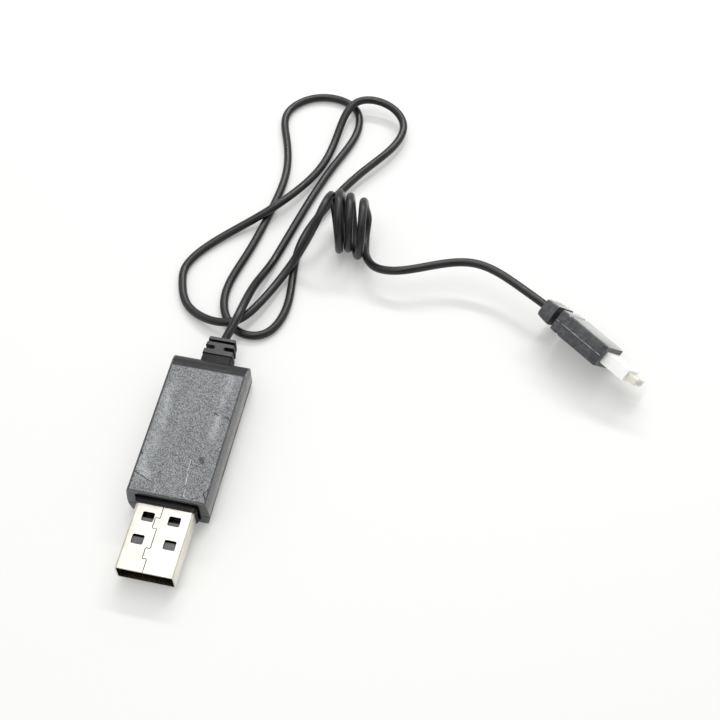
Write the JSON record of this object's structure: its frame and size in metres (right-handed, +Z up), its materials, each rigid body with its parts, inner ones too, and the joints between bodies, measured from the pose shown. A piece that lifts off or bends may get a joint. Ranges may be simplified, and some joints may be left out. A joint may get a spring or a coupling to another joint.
{
  "type": "usb charging lead",
  "caption": "Charging lead for a small drone's battery: a USB plug with a slim housing, a thin looped cord with a small upright coil, and a small white battery connector.",
  "frame": {"origin": "middle of the footprint of the plug, housing and strain relief, on the surface that the lead lies on", "axes": "+Y from the plug's mouth to the cord, +Z up out of the surface, +X to the right when the mouth faces the viewer"},
  "size_m": [0.1067, 0.1369, 0.0144],
  "materials": {
    "nickel_plate": "bright nickel plate with a faint grain",
    "gold_plate": "thin gold plate",
    "insulator_plastic": "grey grained moulding",
    "collar_plastic": "glossy black",
    "housing_plastic": "finely textured dark grey top, satin sides, worn and scratched",
    "board_laminate": "green solder mask",
    "package_plastic": "black epoxy",
    "lamp_plastic": "clear red",
    "capacitor_body": "tan fired body",
    "solder": "smooth, slightly dull",
    "red_wire": "red insulation",
    "black_wire": "black insulation",
    "relief_plastic": "matte black, fine texture",
    "cord_jacket": "satin black PVC",
    "cover_plastic": "matte dark grey moulding with a parting line",
    "connector_nylon": "white nylon, slightly translucent where it is thin",
    "terminal_brass": "stamped brass"
  },
  "bodies": {
    "root": {"board_wire_black": "black_wire", "board_wire_red": "red_wire", "capacitor": "capacitor_body", "charge_ic": "package_plastic", "circuit_board": "board_laminate", "connector_cover": "cover_plastic", "connector_housing": "connector_nylon", "connector_terminal_1": "terminal_brass", "connector_terminal_2": "terminal_brass", "connector_wire_black": "black_wire", "connector_wire_red": "red_wire", "contact_solder_1": "solder", "contact_solder_2": "solder", "contact_solder_3": "solder", "contact_solder_4": "solder", "cord_coil": "cord_jacket", "cord_loops": "cord_jacket", "cord_tail": "cord_jacket", "housing_lower": "housing_plastic", "housing_upper": "housing_plastic", "indicator_led": "lamp_plastic", "plug_collar": "collar_plastic", "resistor_1": "package_plastic", "resistor_2": "package_plastic", "strain_relief": "relief_plastic", "usb_contact_1": "gold_plate", "usb_contact_2": "gold_plate", "usb_contact_3": "gold_plate", "usb_contact_4": "gold_plate", "usb_insulator": "insulator_plastic", "usb_shell": "nickel_plate", "wire_solder_black": "solder", "wire_solder_red": "solder"}
  },
  "joints": []
}
